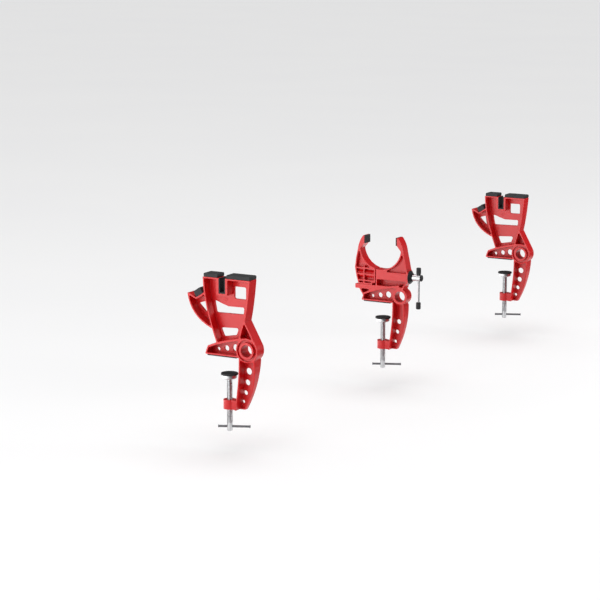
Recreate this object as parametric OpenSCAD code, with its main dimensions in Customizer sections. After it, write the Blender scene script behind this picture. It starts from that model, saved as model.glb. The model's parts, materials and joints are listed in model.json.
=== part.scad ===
// Three-piece vise set for holding an alpine ski over a bench edge.
// A centre vise grips the ski's waist, and an end support stands on each side of it.
// X runs along the ski, Y runs in over the bench and Z runs up.
// The origin is on the bench top, at its edge, in the middle plane of the centre vise.

/* [Row] */
// Distance from the centre vise to the near end support
near_gap = 593; // [450:1:800]
// Distance from the centre vise to the far end support
far_gap = 600; // [450:1:800]

/* [Castings] */
// Width of an end support along the ski
support_w = 24; // [20:0.5:30]
// Width of the centre vise along the ski
vise_w = 22; // [20:0.5:28]
// Thickness of the flanges and ribs
rib_t = 2.6; // [2.2:0.1:4]
// Thickness of the arm's top flange
arm_rib_t = 4; // [2.5:0.1:5]
// Thickness of the web at the back of a casting
web_t = 5; // [3:0.1:7]
// Thickness of the web in the two jaws, where the pockets are shallow
jaw_web_t = 14; // [8:0.5:16]
// Fillet in the corners of the pockets between ribs
pocket_r = 2; // [1:0.1:2.5]
// Fillet in the corners of the windows through the web
window_r = 3; // [1:0.1:4]

/* [Bench clamp] */
// Reach of the arm in over the bench
arm_len = 62; // [58:1:70]
// Height of the arm's tip above the bench
arm_tip_h = 18; // [15:0.5:20]
// Rise of the arm from the bench to its flange over the hub
arm_root_h = 38; // [36:0.5:40]
// Distance of the hub behind the bench edge
hub_back = 24; // [22:0.5:26]
// Height of the hub above the bench
hub_h = 15.5; // [13:0.5:17]
// Diameter of the hub's bore
hub_bore_d = 22; // [18:0.5:23]
// Wall of the tube round the bore
hub_tube_t = 4; // [3:0.1:4.4]
// Outer radius of the hub on an end support
support_hub_r = 22; // [21:0.5:23]
// Height by which the hub's tube stands out of a support
hub_proud = 1.5; // [0.5:0.1:4]
// Depth of the ring cut round the hub's tube
hub_ring_depth = 4; // [2:0.5:12]
// Outer radius of the hub on the centre vise
vise_hub_r = 16; // [15:0.5:17]
// Distance from the bench edge to the spine behind it
throat_gap = 7.5; // [6:0.5:9]
// Depth of the spine below the bench top
spine_drop = 95; // [90:1:110]
// Width of the spine at its lower end
spine_end_w = 13.5; // [11:0.5:15]
// Depth of the spine's outer flange near its lower end
spine_fade = 9; // [6:0.5:20]
// Thickness of the rubber strip under the arm
strip_t = 2; // [1:0.1:3]
// Length of the rubber strip that is past the bench edge
strip_len = 57; // [40:1:57]

/* [Clamp screw] */
// Distance of the screw in from the bench edge
screw_reach = 18.5; // [18:0.5:24]
// Diameter of the clamp screw
screw_d = 10; // [8:0.5:12]
// Length of the clamp screw
screw_len = 100; // [95:1:110]
// Diameter of the threaded boss at the foot of the spine
boss_d = 23; // [20:0.5:26]
// Height of the threaded boss
boss_h = 17; // [14:0.5:20]
// Thickness of the bench that the clamps are closed on
bench_t = 30; // [26:1:36]
// Diameter of the swivel cup
cup_d = 27; // [24:0.5:29]
// Height of the swivel cup
cup_h = 7; // [6:0.5:8]
// Diameter of the rubber disc on the cup
disc_d = 31; // [28:0.5:32]
// Thickness of the rubber disc
disc_t = 3.5; // [2:0.5:5]
// Diameter of the sliding T-bar
tbar_d = 4.2; // [3:0.1:5]
// Length of the T-bar
tbar_len = 58; // [50:1:70]
// Height of the T-bar above the screw's lower end
tbar_up = 8; // [7:0.5:9]
// Distance by which the T-bar is slid through the screw
tbar_shift = 8; // [0:1:12]
// Angle of the T-bar from square to the bench edge
tbar_turn = 25; // [0:5:90]

/* [End support] */
// Height of the cradle's top flange above the bench
cradle_h = 141; // [138:1:150]
// Distance of the cradle's front leg in from the bench edge
cradle_front = 66; // [64:1:70]
// Distance of the cradle's back leg behind the bench edge
cradle_back = 31; // [29:1:33]
// Height of the waist in the back leg
waist_h = 67; // [64:1:70]
// Distance of the waist behind the bench edge
waist_back = 20.5; // [19:0.5:22]
// Width of the slot that takes a ski on its side
slot_w = 13.5; // [12:0.5:16]
// Distance of the slot's middle in from the bench edge
slot_reach = 26.2; // [24:0.1:28]
// Depth of the slot
slot_depth = 27.5; // [24:0.5:30]
// Wall round the slot
slot_wall = 4.5; // [3:0.5:5]
// Thickness of the rubber liner in the slot
liner_t = 2; // [1:0.1:3]
// Thickness of the rubber pads on the top flange
top_pad_t = 7; // [5:0.5:9]
// Distance of the horn's tip in from the bench edge
horn_reach = 99; // [96:1:104]
// Height of the horn's tip above the bench
horn_h = 111; // [108:1:114]
// Length of the rubber block in the horn's notch
notch_pad_len = 16; // [12:0.5:17]
// Thickness of the rubber block in the horn's notch
notch_pad_t = 12; // [8:0.5:14]

/* [Centre vise] */
// Gap between the jaw pads as the vise stands
jaw_gap = 68; // [67:0.5:70]
// Distance of the gap's middle in from the bench edge
jaw_mid = 20; // [19:0.5:21]
// Height of the jaw tips above the bench
jaw_h = 134; // [130:1:140]
// Height of the pads on the jaw tips
jaw_pad_h = 16; // [12:0.5:18]
// Thickness of the pads on the jaw tips
jaw_pad_t = 2.5; // [1.5:0.1:4]
// Radius of the round bay between the jaws
bay_r = 46; // [45:0.5:46.5]
// Height of the bay's centre above the bench
bay_h = 113; // [112:0.5:116]
// Height of the jaw screw above the bench
jaw_screw_h = 55.3; // [54:0.1:56]
// Diameter of the jaw screw
jaw_screw_d = 10; // [8:0.5:11]
// Radius of the threaded tube in the moving jaw
jaw_tube_r = 8; // [7:0.5:9]
// Height of the front plate over the jaw screw
plate_h = 16; // [14:0.5:17]
// Distance of the housing's left end in from the bench edge
housing_front = 30; // [29:0.5:31]
// Distance of the housing's right end behind the bench edge
housing_back = 42; // [41:0.5:43]
// Running space between the housing and the closed jaw
jaw_stop = 1.5; // [1:0.1:2]
// Height of the top of the slide rail
rail_top = 34.5; // [34:0.1:36]
// Height of the slide rail
rail_t = 9; // [8.5:0.1:10]
// Distance of the rail's end in from the bench edge
rail_reach = 76.5; // [75:0.5:80]
// Width of the neck of the T-slot in the rail
tslot_neck_w = 8; // [6:0.5:9]
// Width of the head of the T-slot
tslot_head_w = 14; // [12:0.5:15]
// Height of each step of the T-slot
tslot_step = 3; // [2.5:0.1:3.2]

/* [Jaw handle] */
// Diameter of the cone washer
washer_d = 28; // [24:0.5:32]
// Thickness of the cone washer
washer_t = 6.5; // [4:0.5:9]
// Diameter of the handle's hub
handle_hub_d = 13; // [12.5:0.5:18]
// Length of the handle's hub
handle_hub_len = 17; // [14:0.5:22]
// Thickness of the cap on the hub's end
hub_cap_t = 2.5; // [2:0.5:6]
// Diameter of the handle bar
handle_d = 4.5; // [4:0.1:6]
// Length of the handle over its grips
handle_len = 84; // [70:1:100]
// Diameter of the grips
grip_d = 9.5; // [8:0.5:12]
// Length of each grip
grip_len = 14; // [10:0.5:18]

/* [Hidden] */
$fn = 48;
// Radial clearance of a turning or sliding fit
fit = 0.05;
// Space left between faces that slide or stand close
gap = 0.3;
// Length by which a cut runs out of the solid
out = 1;

// Places along the row
near_x = -near_gap;
far_x = far_gap;
// Middle of the hub as seen along the row
hub = [-hub_back, hub_h];
arm_bottom = strip_t;
pad_top = -bench_t;
cup_top = pad_top - disc_t;
cup_bottom = cup_top - cup_h;
socket_depth = cup_h - 2;
screw_top = cup_bottom + socket_depth - gap;
screw_bottom = screw_top - screw_len;
tbar_z = screw_bottom + tbar_up;
tbar_cap_t = 1.5;
tbar_cap_r = tbar_d / 2 + 0.5;
boss_bottom = -spine_drop;
boss_link_w = 16;

slot_y0 = slot_reach - slot_w / 2;
slot_y1 = slot_reach + slot_w / 2;
slot_floor = cradle_h - slot_depth;

// Distances from the middle of the jaw gap
tip_face = jaw_gap / 2 + jaw_pad_t;
pad_bottom = jaw_h - jaw_pad_h;
plate_z0 = jaw_screw_h - plate_h / 2;
bay_top = bay_h - 6;
rail_bottom = rail_top - rail_t;
jaw_inner = housing_front + jaw_stop;
foot_z = rail_top + gap;
foot_d0 = 18;
foot_d1 = 49.5;
foot_y0 = jaw_mid + foot_d0;
foot_y1 = jaw_mid + foot_d1;
jaw_screw_end = 70;
washer_y = -housing_back;
hub_y0 = washer_y - washer_t;
hub_y1 = hub_y0 - handle_hub_len;
handle_y = hub_y1 + 5;
handle_top = jaw_screw_h + handle_hub_d / 2 + gap + grip_len;
handle_bottom = handle_top - handle_len;
grip_end_t = 2;
ring_t = 1.2;
ring_r = 7;
ring_groove = 0.7;
ring_y = housing_front - 3;

// Points of a bend from a to c that leaves and arrives pointing at b
function bend(a, b, c, n = 8) =
    [for (i = [0 : n]) let (t = i / n) pow(1 - t, 2) * a + 2 * t * (1 - t) * b + pow(t, 2) * c];
function shifted(points, by) = [for (p = points) p + by];
function reversed(points) = [for (i = [len(points) - 1 : -1 : 0]) points[i]];
function swapped(points) = [for (p = points) [p[1], p[0]]];
// Point where a line from p touches a circle, on the circle's far left side
function touch(p, centre, r) =
    let (v = p - centre, a = atan2(v[1], v[0]) + acos(r / norm(v)))
    centre + r * [cos(a), sin(a)];

// Curves that the clamp is drawn from
arm_top = bend([arm_len - 6, arm_tip_h], [20, arm_root_h - 5], [hub[0] + 2, arm_root_h]);
spine_inner = bend([-throat_gap, 0], [-throat_gap - 1, -40], [1.5, -spine_drop]);
// Outer edge of the spine below a hub of radius hub_r
function spine_outer(hub_r) =
    bend([6 - hub_back - hub_r, -2], [-hub_back - 5.4 - 0.35 * hub_r, -49],
        [1.5 - spine_end_w, -spine_drop]);
// Holes through the arm, as distance back from its tip and radius
arm_holes = [[16.5, 3.3], [33.5, 5], [51.5, 6.4]];
arm_hole_drop = 3;
// Holes through the spine of a support and of the vise, as depth below the bench top and radius
spine_holes = [[25.5, 6.3], [46, 5.5], [65, 4.4], [81.5, 3.1]];
vise_spine_holes = [[39, 5], [60, 4.2], [80, 3.4]];

// Curves that the cradle is drawn from
front_root = 38;
front_leg = bend([front_root, 24], [cradle_front - 1, 92], [cradle_front, cradle_h]);
waist = [-waist_back, waist_h];
back_leg = bend([-cradle_back, cradle_h], [3.5 - cradle_back, 100], waist);
shoulder = touch(waist, hub, support_hub_r);
horn_curve = bend([50, 50], [horn_reach - 7, horn_h - 43], [horn_reach - 1, horn_h - 3]);
notch_edge = [horn_reach - 19, horn_h - 9];
notch_slope = 147;
notch_back = notch_edge + 19 * [cos(notch_slope), sin(notch_slope)];

// Shows a flat outline, drawn as distance in and height, from x0 to x1 along the row
module slab(x0, x1) {
    translate([x0, 0, 0])
        rotate([90, 0, 90])
            linear_extrude(x1 - x0)
                children();
}

// Rounds the outward corners of an outline
module eased(r) {
    offset(r = r)
        offset(delta = -r)
            children();
}

// Fills the inward corners of an outline
module filled(r) {
    offset(r = -r)
        offset(delta = r)
            children();
}

module ribbon(points, by) {
    polygon(concat(points, reversed(shifted(points, by))));
}

module along_y(y0, y1, height, r) {
    translate([0, y0, height])
        rotate([-90, 0, 0])
            cylinder(h = y1 - y0, r = r);
}

module across(y, z, x0, x1, r) {
    translate([x0, y, z])
        rotate([0, 90, 0])
            cylinder(h = x1 - x0, r = r);
}

// Outline of the arm, hub and spine that every casting shares
module clamp_outline(hub_r) {
    polygon(concat([[arm_len, arm_bottom], [arm_len - 2.5, arm_tip_h - 8]], arm_top,
        [[hub[0], arm_bottom]]));
    polygon(concat(spine_outer(hub_r), reversed(spine_inner), [hub]));
    translate(hub)
        circle(r = hub_r);
}

// Ribs inside the clamp's outline
module clamp_ribs(hub_r) {
    ribbon(arm_top, [0, -arm_rib_t]);
    translate(hub)
        circle(r = hub_r);
}

// Middle of a hole of radius r that lies near the spine's inner flange at height z
function spine_y(z, r) = lookup(z, reversed(swapped(spine_inner))) - 1.55 * r;
function arm_top_z(y) = lookup(y, reversed(arm_top));

// Round holes that lighten the arm and the spine
module clamp_holes(half, first, in_spine) {
    for (hole = arm_holes) {
        y = arm_len - hole[0];
        across(y, (arm_top_z(y) + arm_bottom) / 2 - arm_hole_drop, first, half + out, hole[1]);
    }
    for (hole = in_spine)
        across(spine_y(-hole[0], hole[1]), -hole[0], first, half + out, hole[1]);
}

// Slope by which the front of the spine's outer flange is cut back towards its lower end
module spine_slope(half, hub_r) {
    intersection() {
        slab(-half - out, half)
            polygon(concat(shifted(spine_outer(hub_r), [-3, 0]), [[-3, -spine_drop - out]],
                reversed(shifted(spine_inner, [-rib_t, 0]))));
        translate([0, out, 0])
            rotate([90, 0, 0])
                linear_extrude(2 * hub_back)
                    polygon([[-half, -2], [half - spine_fade, -60],
                        [half - spine_fade, -spine_drop - 2 * out], [-half - out, -spine_drop - 2 * out],
                        [-half - out, -2]]);
    }
}

// Threaded boss and the block that joins it to the spine
module boss() {
    translate([0, screw_reach, boss_bottom])
        cylinder(h = boss_h, r = boss_d / 2);
    translate([-boss_link_w / 2, 0, boss_bottom])
        cube([boss_link_w, screw_reach, boss_h]);
}

module boss_bore() {
    translate([0, screw_reach, boss_bottom - out])
        cylinder(h = boss_h + 2 * out, r = screw_d / 2 + fit);
}

// Outline of the cradle above an end support's arm
module cradle_outline() {
    polygon(concat(front_leg, back_leg, [shoulder, hub]));
    polygon(concat(horn_curve, [[horn_reach, horn_h], notch_edge, notch_back,
        [front_root + 6, 50]]));
}

module slot_outline() {
    translate([slot_y0, slot_floor])
        square([slot_w, slot_depth + out]);
}

module support_outline() {
    filled(2.5)
        eased(1.5) {
            clamp_outline(support_hub_r);
            cradle_outline();
        }
}

module support_ribs() {
    clamp_ribs(support_hub_r);
    ribbon(front_leg, [-rib_t, 0]);
    ribbon([waist + [0, 4], [-10, arm_top_z(-10) - 1]], [rib_t, 0]);
    translate([slot_y0 - slot_wall, slot_floor - rib_t])
        square([slot_w + 2 * slot_wall, slot_depth + rib_t]);
}

// Windows through the web of the cradle
module support_windows() {
    eased(window_r) {
        translate([-12, 103])
            square([24, 22]);
        polygon([[-7, 76], [49.5, 75], [54, 98], [36, 91.5], [24, 88], [-8.5, 88.5]]);
        polygon([[8, 37.5], [34, 33], [41, 48.5], [3, 50.5]]);
    }
    eased(1.5)
        polygon([[68.5, 71], [86.5, 88.5], [72, 93]]);
}

module support_casting(x) {
    half = support_w / 2;
    translate([x, 0, 0])
        difference() {
            union() {
                difference() {
                    slab(-half, half)
                        support_outline();
                    slab(-half - out, half - web_t)
                        eased(pocket_r)
                            difference() {
                                offset(delta = -rib_t)
                                    support_outline();
                                support_ribs();
                            }
                }
                across(hub[0], hub[1], -half - hub_proud, half, hub_bore_d / 2 + hub_tube_t);
                boss();
            }
            slab(-half - out, half + out)
                support_windows();
            slab(-half - out, half + out)
                slot_outline();
            clamp_holes(half, half - web_t - out, spine_holes);
            spine_slope(half, support_hub_r);
            difference() {
                across(hub[0], hub[1], -half - out, hub_ring_depth - half, support_hub_r - rib_t);
                across(hub[0], hub[1], -half - 2 * out, half, hub_bore_d / 2 + hub_tube_t);
            }
            across(hub[0], hub[1], -half - hub_proud - out, half + out, hub_bore_d / 2);
            boss_bore();
        }
}

module near_casting() {
    color("crimson")
        support_casting(near_x);
}

module far_casting() {
    color("crimson")
        support_casting(far_x);
}

// Rubber strip that the arm presses on the bench top
module arm_strip(x, width) {
    color("dimgray")
        translate([x - width / 2, strip_len - 60, 0])
            cube([width, 60, strip_t]);
}

// Rubber pads that the ski lies on, one on each side of the slot
module top_pads(x) {
    half = support_w / 2;
    color("dimgray")
        translate([x, 0, cradle_h])
            slab(-half, half) {
                eased(2)
                    translate([-cradle_back, 0])
                        square([cradle_back + slot_y0 - slot_wall / 2, top_pad_t]);
                eased(2)
                    translate([slot_y1 + slot_wall / 2, 0])
                        square([cradle_front - slot_y1 - slot_wall / 2 - 2, top_pad_t]);
            }
}

module slot_liner(x) {
    half = support_w / 2;
    color("dimgray")
        translate([x, 0, 0])
            slab(-half, half)
                difference() {
                    translate([slot_y0, slot_floor])
                        square([slot_w, slot_depth]);
                    translate([slot_y0 + liner_t, slot_floor + liner_t])
                        square([slot_w - 2 * liner_t, slot_depth]);
                }
}

// Rubber block on the sloping face of the notch behind the horn
module notch_pad(x) {
    half = support_w / 2;
    color("dimgray")
        translate([x, 0, 0])
            slab(-half, half)
                translate(notch_edge)
                    rotate(notch_slope)
                        translate([1, -notch_pad_t])
                            square([notch_pad_len, notch_pad_t]);
}

// Steel screw of a bench clamp, with the cross hole for its T-bar
module clamp_screw(x) {
    r = screw_d / 2;
    color("silver")
        translate([x, screw_reach, 0])
            difference() {
                union() {
                    translate([0, 0, screw_bottom + 1])
                        cylinder(h = screw_len - 1, r = r);
                    translate([0, 0, screw_bottom])
                        cylinder(h = 1, r1 = r - 1, r2 = r);
                }
                translate([0, 0, tbar_z])
                    rotate([0, 0, tbar_turn])
                        rotate([90, 0, 0])
                            translate([0, 0, -screw_d])
                                cylinder(h = 2 * screw_d, r = tbar_d / 2 + fit);
            }
}

module tbar(x) {
    end = tbar_len / 2;
    color("silver")
        translate([x, screw_reach, tbar_z])
            rotate([0, 0, tbar_turn])
                rotate([90, 0, 0])
                    translate([0, 0, tbar_shift]) {
                        translate([0, 0, -end])
                            cylinder(h = tbar_len, r = tbar_d / 2);
                        translate([0, 0, -end])
                            cylinder(h = tbar_cap_t, r = tbar_cap_r);
                        translate([0, 0, end - tbar_cap_t])
                            cylinder(h = tbar_cap_t, r = tbar_cap_r);
                    }
}

// Steel cup that swivels on the end of the screw
module cup(x) {
    color("silver")
        translate([x, screw_reach, cup_bottom])
            difference() {
                rotate_extrude()
                    polygon([[0, 0], [cup_d / 2 - 2, 0], [cup_d / 2, 2], [cup_d / 2, cup_h],
                        [0, cup_h]]);
                translate([0, 0, -out])
                    cylinder(h = socket_depth + out, r = screw_d / 2 + fit);
            }
}

module disc(x) {
    color("dimgray")
        translate([x, screw_reach, cup_top])
            cylinder(h = disc_t, r = disc_d / 2);
}

// Edges of a jaw from its tip down, as distance from the middle of the gap and height
jaw_back = concat(bend([tip_face + 2.5, jaw_h], [48.5, jaw_h - 11], [51, jaw_h - 28]), [[55, 88]]);
jaw_front = [[bay_r - 0.5, bay_top], [tip_face, pad_bottom], [tip_face, jaw_h]];

// Solid tip of a jaw behind its pad
module jaw_tip() {
    translate([jaw_gap / 2, pad_bottom - 10])
        square([20, jaw_pad_h + 10]);
}

// Places an outline drawn from the middle of the gap on the front side, 1, or the back side, -1
module jaw_side(sign) {
    translate([jaw_mid, 0])
        scale([sign, 1])
            children();
}

// Round bay between the jaws
module bay() {
    translate([jaw_mid, bay_h])
        intersection() {
            circle(r = bay_r, $fn = 96);
            translate([-bay_r, -bay_r])
                square([2 * bay_r, bay_r + bay_top - bay_h]);
        }
}

module jaw_pad(sign) {
    half = vise_w / 2;
    color("dimgray")
        slab(-half, half)
            jaw_side(sign)
                translate([jaw_gap / 2, pad_bottom])
                    square([jaw_pad_t, jaw_pad_h]);
}

module vise_outline() {
    filled(2)
        eased(1)
            difference() {
                union() {
                    clamp_outline(vise_hub_r);
                    polygon([[arm_len - 5, arm_tip_h / 2], [rail_reach - 9, rail_bottom],
                        [rail_reach, rail_bottom], [rail_reach, rail_top], [-33, rail_top],
                        [-30, rail_top - 4], hub]);
                    translate([-33, rail_top - 2])
                        square([housing_front + 33, bay_h - bay_r + 6 - rail_top]);
                    polygon([[-33, rail_top + 2], [-housing_back, plate_z0 - 1],
                        [-housing_back, plate_z0 + plate_h + 2], [jaw_mid - 59, 69], [0, 69],
                        [0, rail_top + 2]]);
                    jaw_side(-1)
                        polygon(concat(jaw_front, jaw_back, [[59, 69], [0, 60]]));
                }
                bay();
            }
}

module vise_ribs() {
    clamp_ribs(vise_hub_r);
    translate([-housing_back, plate_z0])
        square([housing_front + housing_back, plate_h]);
    translate([-33, rail_top - rib_t])
        square([rail_reach + 33, rib_t]);
    jaw_side(-1)
        jaw_tip();
    translate([housing_front, rail_bottom])
        square([rail_reach - housing_front, rail_t]);
}

// T-slot along the top of the rail
module tee_slot(y0, y1) {
    translate([-tslot_neck_w / 2, y0, rail_top - tslot_step - out])
        cube([tslot_neck_w, y1 - y0, tslot_step + 2 * out]);
    translate([-tslot_head_w / 2, y0, rail_top - 2 * tslot_step])
        cube([tslot_head_w, y1 - y0, tslot_step]);
}

// Key under the moving jaw that runs in the T-slot
module tee_key(y0, y1) {
    bottom = rail_top - 2 * tslot_step + gap;
    translate([gap - tslot_neck_w / 2, y0, bottom])
        cube([tslot_neck_w - 2 * gap, y1 - y0, foot_z + out - bottom]);
    translate([gap - tslot_head_w / 2, y0, bottom])
        cube([tslot_head_w - 2 * gap, y1 - y0, tslot_step - 2 * gap]);
}

module vise_casting() {
    half = vise_w / 2;
    color("crimson")
        difference() {
            union() {
                difference() {
                    slab(-half, half)
                        vise_outline();
                    slab(-half - out, half - web_t)
                        eased(pocket_r)
                            difference() {
                                offset(delta = -rib_t)
                                    vise_outline();
                                vise_ribs();
                            }
                }
                slab(half - jaw_web_t, half - out)
                    intersection() {
                        offset(delta = -rib_t / 2)
                            vise_outline();
                        translate([-60, plate_z0 + plate_h - 2])
                            square([120, 100]);
                    }
                boss();
            }
            clamp_holes(half, half - web_t - out, vise_spine_holes);
            spine_slope(half, vise_hub_r);
            across(hub[0], hub[1], -half - out, half + out, hub_bore_d / 2);
            boss_bore();
            tee_slot(foot_y0 - jaw_stop - out, rail_reach + out);
            along_y(-housing_back - out, housing_front + out, jaw_screw_h,
                jaw_screw_d / 2 + fit);
            along_y(ring_y - gap, housing_front + out, jaw_screw_h, ring_r + gap);
        }
}

module moving_jaw_outline() {
    filled(1.5)
        eased(1)
            jaw_side(1)
                difference() {
                    polygon(concat(jaw_front, jaw_back, [[57.5, 68], [54, 50], [foot_d1, foot_z],
                        [foot_d0, foot_z], [foot_d0, foot_z + 4], [jaw_inner - jaw_mid, foot_z + 4],
                        [jaw_inner - jaw_mid, bay_h - bay_r + 4]]));
                    translate([-jaw_mid, 0])
                        bay();
                }
}

module moving_jaw_ribs() {
    for (height = [41, jaw_screw_h - rib_t / 2, 66])
        translate([jaw_inner, height])
            square([50, rib_t]);
    translate([55.5, foot_z])
        square([rib_t, 37]);
    jaw_side(1)
        jaw_tip();
}

module moving_jaw() {
    half = vise_w / 2;
    color("crimson")
        difference() {
            union() {
                difference() {
                    slab(-half, half)
                        moving_jaw_outline();
                    slab(-half - out, half - jaw_web_t)
                        eased(1.5)
                            difference() {
                                offset(delta = -rib_t)
                                    moving_jaw_outline();
                                moving_jaw_ribs();
                            }
                }
                along_y(jaw_inner, jaw_mid + 52, jaw_screw_h, jaw_tube_r);
                tee_key(foot_y0, foot_y1 - 4);
            }
            along_y(jaw_inner - out, jaw_mid + 60, jaw_screw_h, jaw_screw_d / 2 + fit);
        }
}

// Jaw screw with its groove for the retaining ring and its cross hole for the handle
module jaw_screw() {
    r = jaw_screw_d / 2;
    color("silver")
        difference() {
            union() {
                along_y(hub_y1, jaw_screw_end - 1, jaw_screw_h, r);
                translate([0, jaw_screw_end - 1, jaw_screw_h])
                    rotate([-90, 0, 0])
                        cylinder(h = 1, r1 = r, r2 = r - 1);
            }
            difference() {
                along_y(ring_y, ring_y + ring_t, jaw_screw_h, r + out);
                along_y(ring_y - out, ring_y + ring_t + out, jaw_screw_h, r - ring_groove);
            }
            handle_hole();
        }
}

module handle_hole() {
    translate([0, handle_y, jaw_screw_h - handle_hub_d])
        cylinder(h = 2 * handle_hub_d, r = handle_d / 2 + fit);
}

// Ring that keeps the jaw screw from drawing out of the housing
module jaw_screw_ring() {
    color("silver")
        difference() {
            along_y(ring_y, ring_y + ring_t, jaw_screw_h, ring_r);
            along_y(ring_y - out, ring_y + ring_t + out, jaw_screw_h,
                jaw_screw_d / 2 - ring_groove);
        }
}

module cone_washer() {
    color("dimgray")
        difference() {
            translate([0, washer_y, jaw_screw_h])
                rotate([90, 0, 0])
                    cylinder(h = washer_t - gap, r1 = washer_d / 2, r2 = handle_hub_d / 2 + 1);
            along_y(hub_y0 - out, washer_y + out, jaw_screw_h, jaw_screw_d / 2 + fit);
        }
}

module handle_hub() {
    color("silver")
        difference() {
            along_y(hub_y1, hub_y0, jaw_screw_h, handle_hub_d / 2);
            along_y(hub_y1 - out, hub_y0 + out, jaw_screw_h, jaw_screw_d / 2);
            handle_hole();
        }
}

module hub_cap() {
    color("dimgray")
        along_y(hub_y1 - hub_cap_t, hub_y1, jaw_screw_h, handle_hub_d / 2);
}

module handle_bar() {
    color("silver")
        translate([0, handle_y, handle_bottom + grip_end_t])
            cylinder(h = handle_len - 2 * grip_end_t, r = handle_d / 2);
}

// Rubber grip on an end of the handle, from its closed end upwards
module grip() {
    color("dimgray")
        difference() {
            cylinder(h = grip_len, r = grip_d / 2);
            translate([0, 0, grip_end_t])
                cylinder(h = grip_len, r = handle_d / 2);
        }
}

module upper_grip() {
    translate([0, handle_y, handle_top])
        mirror([0, 0, 1])
            grip();
}

module lower_grip() {
    translate([0, handle_y, handle_bottom])
        grip();
}

near_casting();
arm_strip(near_x, support_w);  // near_arm_strip
top_pads(near_x);  // near_top_pads
slot_liner(near_x);  // near_slot_liner
notch_pad(near_x);  // near_notch_pad
clamp_screw(near_x);  // near_clamp_screw
tbar(near_x);  // near_tbar
cup(near_x);  // near_cup
disc(near_x);  // near_disc
far_casting();
arm_strip(far_x, support_w);  // far_arm_strip
top_pads(far_x);  // far_top_pads
slot_liner(far_x);  // far_slot_liner
notch_pad(far_x);  // far_notch_pad
clamp_screw(far_x);  // far_clamp_screw
tbar(far_x);  // far_tbar
cup(far_x);  // far_cup
disc(far_x);  // far_disc
vise_casting();
arm_strip(0, vise_w);  // vise_arm_strip
clamp_screw(0);  // vise_clamp_screw
tbar(0);  // vise_tbar
cup(0);  // vise_cup
disc(0);  // vise_disc
moving_jaw();
jaw_pad(1);  // moving_jaw_pad
jaw_pad(-1);  // fixed_jaw_pad
jaw_screw();
jaw_screw_ring();
cone_washer();
handle_hub();
hub_cap();
handle_bar();
upper_grip();
lower_grip();
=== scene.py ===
import bpy
import bmesh
import json
import math
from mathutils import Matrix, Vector, geometry

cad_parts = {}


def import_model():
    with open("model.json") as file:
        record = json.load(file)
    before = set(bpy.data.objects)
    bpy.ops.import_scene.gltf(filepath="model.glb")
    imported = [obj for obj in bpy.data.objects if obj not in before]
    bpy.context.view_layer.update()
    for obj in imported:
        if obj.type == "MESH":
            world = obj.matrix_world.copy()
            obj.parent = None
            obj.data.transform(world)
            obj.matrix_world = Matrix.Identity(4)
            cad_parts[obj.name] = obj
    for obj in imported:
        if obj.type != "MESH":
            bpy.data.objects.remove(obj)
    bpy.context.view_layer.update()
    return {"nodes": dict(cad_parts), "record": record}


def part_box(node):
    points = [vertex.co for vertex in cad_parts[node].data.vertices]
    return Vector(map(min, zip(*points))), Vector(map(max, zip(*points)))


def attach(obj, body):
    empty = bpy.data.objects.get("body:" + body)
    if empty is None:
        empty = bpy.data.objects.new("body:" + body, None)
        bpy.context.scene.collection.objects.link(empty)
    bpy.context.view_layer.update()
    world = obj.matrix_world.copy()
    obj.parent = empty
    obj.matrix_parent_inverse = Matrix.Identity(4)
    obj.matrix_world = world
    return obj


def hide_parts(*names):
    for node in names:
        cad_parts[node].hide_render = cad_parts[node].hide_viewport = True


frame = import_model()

MM = 0.001
UNITS = ("near", "vise", "far")
SUPPORTS = ("near", "far")
SAME_PLACE = 1e-6    # Corners closer than this are one corner, in m
ON_PLANE = 1e-7      # Corners this close to a cutting plane lie on it, in m


# ---------------------------------------------------------------- materials

# A Mix node keeps the sockets of its two colours and of their mixture at these places
FIRST_COLOUR, SECOND_COLOUR, MIXED_COLOUR = 6, 7, 2


def linear(code):
    """Turns an sRGB hex value into the linear colour that a shader takes."""
    parts = [int(code[i:i + 2], 16) / 255 for i in (1, 3, 5)]
    return [p / 12.92 if p <= 0.04045 else ((p + 0.055) / 1.055) ** 2.4 for p in parts] + [1.0]


def add(material, kind, settings=None, links=None):
    """Adds a node with its settings and socket values, and links other nodes' outputs to its inputs."""
    tree = material.node_tree
    node = tree.nodes.new(kind)
    for name, value in (settings or {}).items():
        if isinstance(name, str) and hasattr(node, name):
            setattr(node, name, value)
        else:
            node.inputs[name].default_value = value
    for name, source in (links or {}).items():
        tree.links.new(source, node.inputs[name])
    return node


def new_material(name):
    """An empty material, and the socket that gives the place on the piece in metres."""
    material = bpy.data.materials.new(name)
    material.use_nodes = True
    material.node_tree.nodes.clear()
    place = add(material, "ShaderNodeTexCoord").outputs["Object"]
    return material, place


def tones(first, second):
    """Settings with which a Mix node drifts between two colours."""
    return {"data_type": "RGBA", FIRST_COLOUR: linear(first), SECOND_COLOUR: linear(second)}


def gloss(glossiest, dullest):
    """Settings with which a Map Range node turns the middle part of a noise into a range of roughness."""
    return {"From Min": 0.3, "From Max": 0.7, "To Min": glossiest, "To Max": dullest}


def finish_material(material, shader):
    add(material, "ShaderNodeOutputMaterial", links={"Surface": shader.outputs[0]})
    return material


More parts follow.
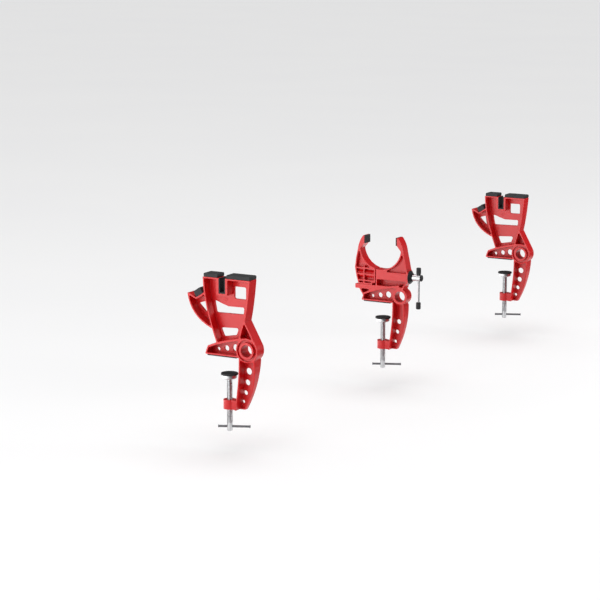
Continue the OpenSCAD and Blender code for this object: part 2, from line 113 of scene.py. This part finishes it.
def powder_coat():
    """Gloss powder coat on die-cast aluminium: deep red under a clear gloss with a fine orange peel."""
    m, place = new_material("gloss_powder_coat_on_cast_aluminium")
    # The colour drifts very slightly over a casting, where the coat is thicker
    drift = add(m, "ShaderNodeTexNoise", {"Scale": 22.0, "Detail": 3.0, "Roughness": 0.55}, {"Vector": place})
    # Orange peel of about 1.6 mm, on top of the cast skin's 6 mm ripple
    peel = add(m, "ShaderNodeTexNoise", {"Scale": 620.0, "Detail": 2.0, "Roughness": 0.5}, {"Vector": place})
    ripple = add(m, "ShaderNodeTexNoise", {"Scale": 160.0, "Detail": 2.0, "Roughness": 0.5}, {"Vector": place})
    fine = add(m, "ShaderNodeBump", {"Strength": 0.12, "Distance": 0.0006}, {"Height": peel.outputs[0]})
    both = add(m, "ShaderNodeBump", {"Strength": 0.06, "Distance": 0.0015},
               {"Height": ripple.outputs[0], "Normal": fine.outputs[0]})
    colour = add(m, "ShaderNodeMix", tones("#BA0208", "#C4060D"), {0: drift.outputs[0]})
    rough = add(m, "ShaderNodeMapRange", gloss(0.30, 0.34), {"Value": ripple.outputs[0]})
    shader = add(m, "ShaderNodeBsdfPrincipled", {"IOR": 1.5},
                 {"Base Color": colour.outputs[MIXED_COLOUR], "Roughness": rough.outputs[0],
                  "Normal": both.outputs[0]})
    return finish_material(m, shader)


def plated_steel(name, pale, dark, roughness, axis):
    """Zinc-plated turned steel: bright, with fine turning lines round the axis and a faint cloudy bloom."""
    m, place = new_material(name)
    # Turning lines, drawn about 0.4 mm apart so that they show, and bloom in clouds of about 4 mm
    stretch = [1.0, 1.0, 1.0]
    stretch["XYZ".index(axis)] = 30.0
    across = add(m, "ShaderNodeMapping", {"Scale": stretch}, {"Vector": place})
    lines = add(m, "ShaderNodeTexNoise", {"Scale": 85.0, "Detail": 3.0, "Roughness": 0.6},
                {"Vector": across.outputs[0]})
    bloom = add(m, "ShaderNodeTexNoise", {"Scale": 260.0, "Detail": 3.0, "Roughness": 0.6}, {"Vector": place})
    bump = add(m, "ShaderNodeBump", {"Strength": 0.10, "Distance": 0.0003}, {"Height": lines.outputs[0]})
    colour = add(m, "ShaderNodeMix", tones(dark, pale), {0: bloom.outputs[0]})
    rough = add(m, "ShaderNodeMapRange", gloss(roughness - 0.05, roughness + 0.07), {"Value": lines.outputs[0]})
    shader = add(m, "ShaderNodeBsdfPrincipled", {"Metallic": 1.0},
                 {"Base Color": colour.outputs[MIXED_COLOUR], "Roughness": rough.outputs[0],
                  "Normal": bump.outputs[0]})
    return finish_material(m, shader)


def moulded_rubber():
    """Moulded synthetic rubber: near black, matt, with a fine leathery grain and a little bloom."""
    m, place = new_material("moulded_black_rubber")
    # Grain of about 1 mm, and bloom in clouds of about 11 mm
    grain = add(m, "ShaderNodeTexVoronoi", {"Scale": 900.0}, {"Vector": place})
    bloom = add(m, "ShaderNodeTexNoise", {"Scale": 90.0, "Detail": 4.0, "Roughness": 0.6}, {"Vector": place})
    bump = add(m, "ShaderNodeBump", {"Strength": 0.22, "Distance": 0.0004}, {"Height": grain.outputs[0]})
    colour = add(m, "ShaderNodeMix", tones("#1D1D1F", "#2C2B2D"), {0: bloom.outputs[0]})
    rough = add(m, "ShaderNodeMapRange", gloss(0.66, 0.80), {"Value": bloom.outputs[0]})
    shader = add(m, "ShaderNodeBsdfPrincipled", {"IOR": 1.52, "Specular IOR Level": 0.4},
                 {"Base Color": colour.outputs[MIXED_COLOUR], "Roughness": rough.outputs[0],
                  "Normal": bump.outputs[0]})
    return finish_material(m, shader)


def moulded_plastic():
    """Moulded black nylon: satin, with a fine spark-eroded grain."""
    m, place = new_material("moulded_black_nylon")
    # Grain of about 0.7 mm, and handling wear in clouds of about 8 mm
    grain = add(m, "ShaderNodeTexNoise", {"Scale": 1400.0, "Detail": 2.0, "Roughness": 0.5}, {"Vector": place})
    wear = add(m, "ShaderNodeTexNoise", {"Scale": 120.0, "Detail": 3.0, "Roughness": 0.6}, {"Vector": place})
    bump = add(m, "ShaderNodeBump", {"Strength": 0.12, "Distance": 0.0003}, {"Height": grain.outputs[0]})
    colour = add(m, "ShaderNodeMix", tones("#161618", "#242427"), {0: wear.outputs[0]})
    rough = add(m, "ShaderNodeMapRange", gloss(0.34, 0.48), {"Value": wear.outputs[0]})
    shader = add(m, "ShaderNodeBsdfPrincipled", {"IOR": 1.53},
                 {"Base Color": colour.outputs[MIXED_COLOUR], "Roughness": rough.outputs[0],
                  "Normal": bump.outputs[0]})
    return finish_material(m, shader)


coat = powder_coat()
bright_z = plated_steel("zinc_plated_screw_steel", "#DCDCDD", "#B9BABC", 0.30, "Z")
bright_y = plated_steel("zinc_plated_shaft_steel", "#DCDCDD", "#B9BABC", 0.30, "Y")
dull_steel = plated_steel("dull_zinc_plated_bar_steel", "#7C7C7F", "#626266", 0.34, "Z")
rubber = moulded_rubber()
nylon = moulded_plastic()


# ---------------------------------------------------------------- how a piece is made

FLAT_ANGLE = math.radians(0.6)         # Faces that meet at less than this are one flat face
ROUNDED_ANGLE = math.radians(30)       # Edges sharper than this get a rounding
SHADE_ANGLE = math.radians(32)         # Edges sharper than this still show as edges when shaded
MARK_SHADE_ANGLE = math.radians(35)    # The same for the small ring of the cast mark
OPPOSITE = -0.8                        # Cosine beyond which two edges of a face run opposite ways
LONGEST_FOLD = 20                      # Longest fold that is closed, in widths of the rounding
FOLD_ROUNDS = 12                       # Closing one fold may leave another, so it is done again


def body_of_node(node):
    for body, nodes in frame["record"]["behaviour"]["bodies"].items():
        if node in nodes:
            return body
    return "root"


def everything(mesh):
    return mesh.verts[:] + mesh.edges[:] + mesh.faces[:]


def merged_copy(node, levels=()):
    """The CAD node's mesh with its loose triangles joined and its flat faces made whole.

    A face can't have a hole in it, so it stays divided at the given heights, which run through its holes.
    """
    mesh = bmesh.new()
    mesh.from_mesh(frame["nodes"][node].data)
    bmesh.ops.remove_doubles(mesh, verts=mesh.verts, dist=SAME_PLACE)
    for level in levels:
        cut = bmesh.ops.bisect_plane(mesh, geom=everything(mesh), dist=ON_PLANE,
                                     plane_co=(0, 0, level * MM), plane_no=(0, 0, 1))
        for item in cut["geom_cut"]:
            if isinstance(item, bmesh.types.BMEdge):
                item.seam = True
    bmesh.ops.dissolve_limit(mesh, angle_limit=FLAT_ANGLE, verts=mesh.verts, edges=mesh.edges, delimit={"SEAM"})
    return mesh


def narrow_strips(mesh, edges, width):
    """The sharp edges that bound a strip of face too narrow to be rounded from both sides."""
    sharp, found = set(edges), set()
    for face in mesh.faces:
        loops = [loop for loop in face.loops if loop.edge in sharp]
        for loop in loops:
            start, end = loop.vert.co, loop.link_loop_next.vert.co
            ahead = end - start
            if ahead.length < width:
                continue
            for other in loops:
                back = other.link_loop_next.vert.co - other.vert.co
                if ahead.dot(back) > OPPOSITE * ahead.length * back.length:
                    continue
                middle = other.vert.co + back / 2
                nearest, along = geometry.intersect_point_line(middle, start, end)
                if 0 <= along <= 1 and (nearest - middle).length < 2 * width:
                    found.update((loop.edge, other.edge))
    return found


def small_fold(face, longest):
    """The corners of the shortest loop in which a face's outline crosses itself, up to a longest one."""
    across = max(range(3), key=lambda axis: abs(face.normal[axis]))
    corners = [Vector([c for axis, c in enumerate(vert.co) if axis != across]) for vert in face.verts]
    count = len(corners)
    sides = [(corners[(i + 1) % count] - corners[i]).length for i in range(count)]
    best, fold = longest, None
    for i in range(count):
        side = corners[i], corners[(i + 1) % count]
        # The last side touches the first one, so they can't cross
        for j in range(i + 2, count - (i == 0)):
            if geometry.intersect_line_line_2d(*side, corners[j], corners[(j + 1) % count]) is None:
                continue
            inner = sum(sides[i + 1:j])
            outer = sum(sides) - inner - sides[i] - sides[j]
            if min(inner, outer) < best:
                best = min(inner, outer)
                around = range(i + 1, j + 1) if inner <= outer else range(j + 1, count + i + 1)
                fold = [face.verts[k % count] for k in around]
    return fold


def close_folds(mesh, longest):
    """Draws each small loop in which two roundings fold over each other together into one point."""
    for turn in range(FOLD_ROUNDS):
        used, folds = set(), []
        for face in mesh.faces:
            fold = small_fold(face, longest) if len(face.verts) > 3 else None
            if fold and not used & set(fold):
                used |= set(fold)
                folds.append(fold)
        if not folds:
            break
        for fold in folds:
            middle = sum((v.co for v in fold), Vector()) / len(fold)
            bmesh.ops.pointmerge(mesh, verts=fold, merge_co=middle)


def spun_profile(mesh, points):
    """Joins the points of a profile by edges, and gives what there is to spin."""
    verts = [mesh.verts.new(point) for point in points]
    return verts + [mesh.edges.new(pair) for pair in zip(verts, verts[1:])]


def mesh_data(mesh, name):
    data = bpy.data.meshes.new(name)
    mesh.to_mesh(data)
    mesh.free()
    return data


def in_scene(name, data, material):
    """Makes an object of the mesh data, all in one material."""
    piece = bpy.data.objects.new(name, data)
    bpy.context.scene.collection.objects.link(piece)
    piece.data.materials.clear()
    piece.data.materials.append(material)
    return piece


def shaded_piece(mesh, name, material, shade_angle):
    """Turns a closed mesh's faces outwards, shades it smooth between its edges and puts it in the scene."""
    bmesh.ops.recalc_face_normals(mesh, faces=mesh.faces)
    for face in mesh.faces:
        face.smooth = True
    data = mesh_data(mesh, name)
    data.set_sharp_from_angle(angle=shade_angle)
    return in_scene(name, data, material)


def as_piece(mesh, name, node, material):
    """Makes an object of a finished mesh, which stands for the CAD node and rides where it does."""
    piece = shaded_piece(mesh, name, material, SHADE_ANGLE)
    even = piece.modifiers.new("even_shading", "WEIGHTED_NORMAL")
    even.keep_sharp = True
    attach(piece, body_of_node(node))
    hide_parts(node)


def softened(node, material, width, segments=2, levels=()):
    """The CAD node with its sharp edges rounded, as a casting or a moulding has them."""
    mesh = merged_copy(node, levels)
    edges = [e for e in mesh.edges if len(e.link_faces) == 2 and e.calc_face_angle(0.0) > ROUNDED_ANGLE]
    left_sharp = narrow_strips(mesh, edges, width * MM)
    bmesh.ops.bevel(mesh, geom=[e for e in edges if e not in left_sharp], offset=width * MM,
                    offset_type="OFFSET", segments=segments, profile=0.5, affect="EDGES",
                    clamp_overlap=False, material=-1)
    close_folds(mesh, LONGEST_FOLD * width * MM)
    as_piece(mesh, node + "_soft", node, material)


# ---------------------------------------------------------------- threads and cast marks

THREAD_RADIUS = 5.0                    # Both screws are 10 mm across their crests
THREAD_STEPS = 20                      # Steps round one turn of a thread
PLAIN_END = 15.0                       # Length of a clamp screw's end that carries the T-bar, in mm
JAW_THREAD_START = 31.0                # Where the jaw screw's thread begins, in mm along Y


def thread(mesh, start, axis, depth, pitch, length):
    """Adds a cut thread to a mesh, from start on along the axis, closed at both ends by flat faces."""
    turns = math.ceil(length / pitch) + 2
    # One turn of the thread, as (part of the pitch, radius): crest, flank, root, flank, crest
    crest, root = THREAD_RADIUS, THREAD_RADIUS - depth
    profile = ((0.0, crest), (0.10, crest), (0.42, root), (0.60, root), (0.90, crest), (1.0, crest))
    made = bmesh.new()
    base = start - axis * pitch * MM
    out = Vector((1, 0, 0))
    turned = spun_profile(made, [base + axis * (t - 0.5) * pitch * MM + out * r * MM for t, r in profile])
    bmesh.ops.spin(made, geom=turned, cent=base, axis=axis, dvec=axis * pitch * MM / THREAD_STEPS,
                   angle=math.tau * turns, steps=THREAD_STEPS * turns, use_merge=False)
    bmesh.ops.remove_doubles(made, verts=made.verts, dist=2 * SAME_PLACE)
    for at, side in ((0.0, -1), (length, 1)):
        bmesh.ops.bisect_plane(made, geom=everything(made), dist=ON_PLANE, plane_co=start + axis * at * MM,
                               plane_no=axis * side, clear_outer=True)
        rim = [e for e in made.edges if e.is_boundary
               and all(abs((v.co - start).dot(axis) - at * MM) < SAME_PLACE for v in e.verts)]
        bmesh.ops.contextual_create(made, geom=rim)
    bmesh.ops.recalc_face_normals(made, faces=made.faces)
    data = mesh_data(made, "thread")
    mesh.from_mesh(data)
    bpy.data.meshes.remove(data)


def plain_end(node, at, normal):
    """The part of a CAD screw that carries no thread, cut off square and closed."""
    mesh = merged_copy(node)
    bmesh.ops.bisect_plane(mesh, geom=everything(mesh), dist=ON_PLANE, plane_co=at,
                           plane_no=normal, clear_outer=True)
    bmesh.ops.contextual_create(mesh, geom=[e for e in mesh.edges if e.is_boundary])
    return mesh


def clamp_screw(unit):
    """Clamp screw with a 1.5 mm thread above the plain end that carries the T-bar."""
    node = unit + "_clamp_screw"
    low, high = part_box(node)
    middle = (low + high) / 2
    start = Vector((middle.x, middle.y, low.z + PLAIN_END * MM))
    up = Vector((0, 0, 1))
    mesh = plain_end(node, start, up)
    thread(mesh, start, up, depth=0.85, pitch=1.5, length=(high.z - start.z) / MM)
    as_piece(mesh, unit + "_threaded_screw", node, bright_z)


def jaw_screw():
    """Jaw screw with its coarse 2.5 mm thread where it runs in the moving jaw."""
    low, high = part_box("jaw_screw")
    start = Vector((0, JAW_THREAD_START * MM, (low.z + high.z) / 2))
    inwards = Vector((0, 1, 0))
    mesh = plain_end("jaw_screw", start, inwards)
    thread(mesh, start, inwards, depth=1.1, pitch=2.5, length=(high.y - start.y) / MM)
    as_piece(mesh, "threaded_jaw_screw", "jaw_screw", bright_y)


def cast_mark(unit):
    """Small raised ring that the mould's ejector pin leaves on the web, below the slot."""
    web_thickness, along, height = 5.0, 29.8, 99.8
    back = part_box(unit + "_casting")[1].x
    centre = Vector((back - web_thickness * MM, along * MM, height * MM))
    # The ring's section, as (height over the web, radius): its foot lies 0.4 mm inside the web
    profile = ((0.4, 3.6), (0.0, 3.6), (-0.4, 3.3), (-0.4, 2.5), (-0.1, 2.2), (-0.1, 0.0))
    mesh = bmesh.new()
    turned = spun_profile(mesh, [centre + Vector((dx * MM, 0, r * MM)) for dx, r in profile])
    bmesh.ops.spin(mesh, geom=turned, cent=centre, axis=(1, 0, 0), angle=math.tau, steps=40, use_merge=True)
    bmesh.ops.remove_doubles(mesh, verts=mesh.verts, dist=SAME_PLACE)
    bmesh.ops.contextual_create(mesh, geom=[e for e in mesh.edges if e.is_boundary])
    piece = shaded_piece(mesh, unit + "_cast_mark", coat, MARK_SHADE_ANGLE)
    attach(piece, "root")


# ---------------------------------------------------------------- pieces

# Heights that run through the holes of the castings, in mm
SUPPORT_LEVELS = (114.0, 85.0, 43.0, 11.0, -25.5, -46.0, -65.0, -81.5)
VISE_LEVELS = (85.0, 41.0, 24.0, 11.0, -39.0, -60.0, -80.0)
JAW_LEVELS = (85.0, 60.0, 48.0, 39.0)
CASTING_LEVELS = {"near": SUPPORT_LEVELS, "vise": VISE_LEVELS, "far": SUPPORT_LEVELS}

# Widths of the roundings, in mm
CAST_EDGE = 0.45
TURNED_EDGE = 0.4
BAR_EDGE = 0.3
CUT_RUBBER_EDGE = 0.4
LINER_EDGE = 0.3
MOULDED_PAD_EDGE = 0.8
NOTCH_PAD_EDGE = 0.7
RETAINING_RING_EDGE = 0.1
WASHER_EDGE = 0.8
CAP_EDGE = 1.2
GRIP_EDGE = 1.8

for unit in SUPPORTS:
    cast_mark(unit)
for unit in UNITS:
    clamp_screw(unit)
    softened(unit + "_casting", coat, CAST_EDGE, levels=CASTING_LEVELS[unit])
    softened(unit + "_arm_strip", rubber, CUT_RUBBER_EDGE)
    softened(unit + "_disc", rubber, MOULDED_PAD_EDGE, segments=3)
    softened(unit + "_cup", bright_z, TURNED_EDGE)
    softened(unit + "_tbar", dull_steel, BAR_EDGE)
for unit in SUPPORTS:
    softened(unit + "_top_pads", rubber, MOULDED_PAD_EDGE, segments=3)
    softened(unit + "_slot_liner", rubber, LINER_EDGE)
    softened(unit + "_notch_pad", rubber, NOTCH_PAD_EDGE, segments=3)
softened("moving_jaw", coat, CAST_EDGE, levels=JAW_LEVELS)
softened("moving_jaw_pad", rubber, CUT_RUBBER_EDGE)
softened("fixed_jaw_pad", rubber, CUT_RUBBER_EDGE)
jaw_screw()
softened("jaw_screw_ring", dull_steel, RETAINING_RING_EDGE)
softened("cone_washer", nylon, WASHER_EDGE, segments=3)
softened("handle_hub", bright_y, TURNED_EDGE)
softened("hub_cap", nylon, CAP_EDGE, segments=4)
softened("handle_bar", bright_z, BAR_EDGE)
for grip in ("upper_grip", "lower_grip"):
    softened(grip, rubber, GRIP_EDGE, segments=4)


# ---------------------------------------------------------------- stage

FLOOR_LEVEL = -172.6                    # Just under the clamp screws when they are wound right down, in mm
CARD_LEVEL = -135.0                     # Under the clamp screws as they stand at rest, in mm
LIGHTS_AIM = (0, 0, 0.05)               # The middle of the row, in m
CAMERA_PLACE = (-3.6969, -1.8848, 0.7898)
CAMERA_AZIMUTH = math.radians(-60.451)
CAMERA_ELEVATION = math.radians(10.716)


def stage_sheet(name, half_size, middle, material):
    """A flat, level sheet that belongs to the studio, in m."""
    mesh = bmesh.new()
    bmesh.ops.create_grid(mesh, x_segments=1, y_segments=1, size=1)
    bmesh.ops.scale(mesh, verts=mesh.verts, vec=(*half_size, 1))
    bmesh.ops.translate(mesh, verts=mesh.verts, vec=middle)
    piece = in_scene(name, mesh_data(mesh, name), material)
    return piece


def floor():
    """Plain pale studio floor, below the clamp screws' lowest place."""
    m, place = new_material("pale_studio_floor")
    mottle = add(m, "ShaderNodeTexNoise", {"Scale": 1.5, "Detail": 2.0}, {"Vector": place})
    colour = add(m, "ShaderNodeMix", tones("#F1F1F2", "#F4F4F4"), {0: mottle.outputs[0]})
    finish_material(m, add(m, "ShaderNodeBsdfPrincipled", {"Roughness": 0.85},
                           {"Base Color": colour.outputs[MIXED_COLOUR]}))
    stage_sheet("studio_floor", (60, 60), (0, 0, FLOOR_LEVEL * MM), m)


def dark_card():
    """Black card laid beside the row, seen only as the dark side in the shafts' and the coat's reflections."""
    m, place = new_material("black_reflection_card")
    fibre = add(m, "ShaderNodeTexNoise", {"Scale": 300.0, "Detail": 2.0}, {"Vector": place})
    colour = add(m, "ShaderNodeMix", tones("#0C0C0C", "#141414"), {0: fibre.outputs[0]})
    finish_material(m, add(m, "ShaderNodeBsdfPrincipled", {"Roughness": 0.9},
                           {"Base Color": colour.outputs[MIXED_COLOUR]}))
    card = stage_sheet("dark_card", (3.5, 1.9), (0.5, -2.05, CARD_LEVEL * MM), m)
    for ray in ("camera", "diffuse", "shadow", "transmission", "volume_scatter"):
        setattr(card, "visible_" + ray, False)


def overhead_light():
    """Even light from a wide, soft ceiling, the same over the whole floor."""
    lamp = bpy.data.lights.new("overhead_light", "SUN")
    lamp.energy = 2.4
    lamp.angle = math.radians(70)
    held = bpy.data.objects.new("overhead_light", lamp)
    held.location = (0, 0, 3)
    bpy.context.scene.collection.objects.link(held)


def soft_light(name, place, aim, width, height, radiance):
    """Softbox of that size and evenly bright face, turned to a point."""
    lamp = bpy.data.lights.new(name, "AREA")
    lamp.shape = "RECTANGLE"
    lamp.size = width
    lamp.size_y = height
    lamp.energy = radiance * math.pi * width * height
    held = bpy.data.objects.new(name, lamp)
    held.location = place
    held.rotation_euler = (Vector(aim) - Vector(place)).to_track_quat("-Z", "Y").to_euler()
    held.visible_camera = False
    bpy.context.scene.collection.objects.link(held)


def camera():
    """Camera at the photograph's angle: a long lens, looking down the row from the near support."""
    level = math.cos(CAMERA_ELEVATION)
    back = Vector((math.sin(CAMERA_AZIMUTH) * level, -math.cos(CAMERA_AZIMUTH) * level,
                   math.sin(CAMERA_ELEVATION)))
    lens = bpy.data.cameras.new("camera")
    lens.lens = 126
    lens.sensor_width = 36
    held = bpy.data.objects.new("camera", lens)
    held.location = CAMERA_PLACE
    held.rotation_euler = (-back).to_track_quat("-Z", "Y").to_euler()
    bpy.context.scene.collection.objects.link(held)
    bpy.context.scene.camera = held


def world():
    """Faint white light from all round, which lifts the shadows a little."""
    sky = bpy.data.worlds.new("studio")
    sky.use_nodes = True
    background = sky.node_tree.nodes["Background"]
    background.inputs["Color"].default_value = (1.0, 1.0, 1.0, 1.0)
    background.inputs["Strength"].default_value = 0.12
    bpy.context.scene.world = sky
    bpy.context.scene.view_settings.view_transform = "Standard"


floor()
camera()
world()
dark_card()
overhead_light()
soft_light("front_softbox", (-6.0, 0.8, 1.6), LIGHTS_AIM, width=4.0, height=2.6, radiance=4.4)
soft_light("left_softbox", (-2.6, 1.5, 0.32), LIGHTS_AIM, width=2.4, height=0.9, radiance=2.2)
soft_light("left_reflector", (-0.9, 0.86, -0.12), (-0.9, 0.86, 1.0), width=3.4, height=1.48, radiance=1.4)
soft_light("side_softbox", (1.3, -3.0, 0.9), LIGHTS_AIM, width=1.8, height=1.4, radiance=6.5)
